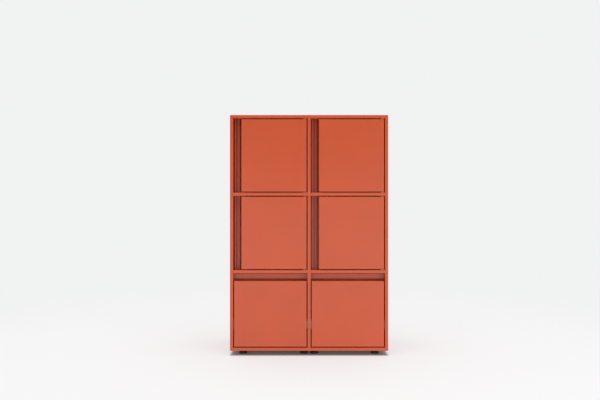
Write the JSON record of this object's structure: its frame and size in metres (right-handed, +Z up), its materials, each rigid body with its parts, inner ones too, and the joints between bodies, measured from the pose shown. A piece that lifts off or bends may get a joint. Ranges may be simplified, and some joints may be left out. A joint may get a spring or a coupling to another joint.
{
  "type": "filing cabinet",
  "caption": "Free-standing sheet-steel cabinet of square cells: right-hinged doors with finger recesses above full-extension file drawers, on levelling feet.",
  "frame": {"origin": "on the floor, under the middle of the carcass's width and depth", "axes": "+Z up, front towards -Y, +X to the right of someone facing the front"},
  "size_m": [0.8, 0.43, 1.216],
  "materials": {
    "powder_coat": "fine-textured satin powder coat, terracotta red, on sheet steel",
    "zinc_plated_steel": "bright zinc plate",
    "black_plastic": "moulded, fine matt texture"
  },
  "bodies": {
    "cabinet": {"left_side_panel": "powder_coat", "right_side_panel": "powder_coat", "top_panel": "powder_coat", "bottom_panel": "powder_coat", "centre_divider": "powder_coat", "shelf_lower_left": "powder_coat", "shelf_lower_right": "powder_coat", "shelf_upper_left": "powder_coat", "shelf_upper_right": "powder_coat", "back_panel": "powder_coat", "grip_channel_upper_left": "powder_coat", "pivot_bottom_upper_left": "powder_coat", "pivot_top_upper_left": "powder_coat", "magnet_catch_upper_left": "black_plastic", "grip_channel_middle_left": "powder_coat", "pivot_bottom_middle_left": "powder_coat", "pivot_top_middle_left": "powder_coat", "magnet_catch_middle_left": "black_plastic", "grip_rail_left": "powder_coat", "left_drawer_cabinet_rail_left": "zinc_plated_steel", "left_drawer_cabinet_rail_right": "zinc_plated_steel", "grip_channel_upper_right": "powder_coat", "pivot_bottom_upper_right": "powder_coat", "pivot_top_upper_right": "powder_coat", "magnet_catch_upper_right": "black_plastic", "grip_channel_middle_right": "powder_coat", "pivot_bottom_middle_right": "powder_coat", "pivot_top_middle_right": "powder_coat", "magnet_catch_middle_right": "black_plastic", "grip_rail_right": "powder_coat", "right_drawer_cabinet_rail_left": "zinc_plated_steel", "right_drawer_cabinet_rail_right": "zinc_plated_steel", "foot_front_outer_left": "black_plastic", "foot_front_inner_left": "black_plastic", "foot_front_inner_right": "black_plastic", "foot_front_outer_right": "black_plastic", "foot_rear_outer_left": "black_plastic", "foot_rear_inner_left": "black_plastic", "foot_rear_inner_right": "black_plastic", "foot_rear_outer_right": "black_plastic"},
    "door_upper_left": {"door_pan_upper_left": "powder_coat", "door_liner_upper_left": "powder_coat"},
    "door_middle_left": {"door_pan_middle_left": "powder_coat", "door_liner_middle_left": "powder_coat"},
    "drawer_left": {"drawer_front_left": "powder_coat", "drawer_tray_left": "powder_coat", "left_drawer_drawer_rail_left": "zinc_plated_steel", "left_drawer_drawer_rail_right": "zinc_plated_steel"},
    "drawer_left_middle_rails": {"left_drawer_middle_rail_left": "zinc_plated_steel", "left_drawer_middle_rail_right": "zinc_plated_steel"},
    "door_upper_right": {"door_pan_upper_right": "powder_coat", "door_liner_upper_right": "powder_coat"},
    "door_middle_right": {"door_pan_middle_right": "powder_coat", "door_liner_middle_right": "powder_coat"},
    "drawer_right": {"drawer_front_right": "powder_coat", "drawer_tray_right": "powder_coat", "right_drawer_drawer_rail_left": "zinc_plated_steel", "right_drawer_drawer_rail_right": "zinc_plated_steel"},
    "drawer_right_middle_rails": {"right_drawer_middle_rail_left": "zinc_plated_steel", "right_drawer_middle_rail_right": "zinc_plated_steel"}
  },
  "joints": [
    {"name": "door_upper_left_hinge", "type": "hinge", "parent": "cabinet", "child": "door_upper_left", "pos_m": [-0.0218, -0.2065, 1.012], "axis": [0, 0, 1], "range_deg": [0, 110]},
    {"name": "door_middle_left_hinge", "type": "hinge", "parent": "cabinet", "child": "door_middle_left", "pos_m": [-0.0218, -0.2065, 0.62], "axis": [0, 0, 1], "range_deg": [0, 110]},
    {"name": "drawer_left_slide", "type": "slide", "parent": "cabinet", "child": "drawer_left", "axis": [0, -1, 0], "range_m": [0, 0.35]},
    {"name": "drawer_left_middle_slide", "type": "slide", "parent": "cabinet", "child": "drawer_left_middle_rails", "axis": [0, -1, 0], "range_m": [0, 0.175]},
    {"name": "door_upper_right_hinge", "type": "hinge", "parent": "cabinet", "child": "door_upper_right", "pos_m": [0.3702, -0.2065, 1.012], "axis": [0, 0, 1], "range_deg": [0, 110]},
    {"name": "door_middle_right_hinge", "type": "hinge", "parent": "cabinet", "child": "door_middle_right", "pos_m": [0.3702, -0.2065, 0.62], "axis": [0, 0, 1], "range_deg": [0, 110]},
    {"name": "drawer_right_slide", "type": "slide", "parent": "cabinet", "child": "drawer_right", "axis": [0, -1, 0], "range_m": [0, 0.35]},
    {"name": "drawer_right_middle_slide", "type": "slide", "parent": "cabinet", "child": "drawer_right_middle_rails", "axis": [0, -1, 0], "range_m": [0, 0.175]}
  ],
  "couplings": [
    {"joint": "drawer_left_middle_slide", "follows": "drawer_left_slide", "ratio": 0.5},
    {"joint": "drawer_right_middle_slide", "follows": "drawer_right_slide", "ratio": 0.5}
  ]
}
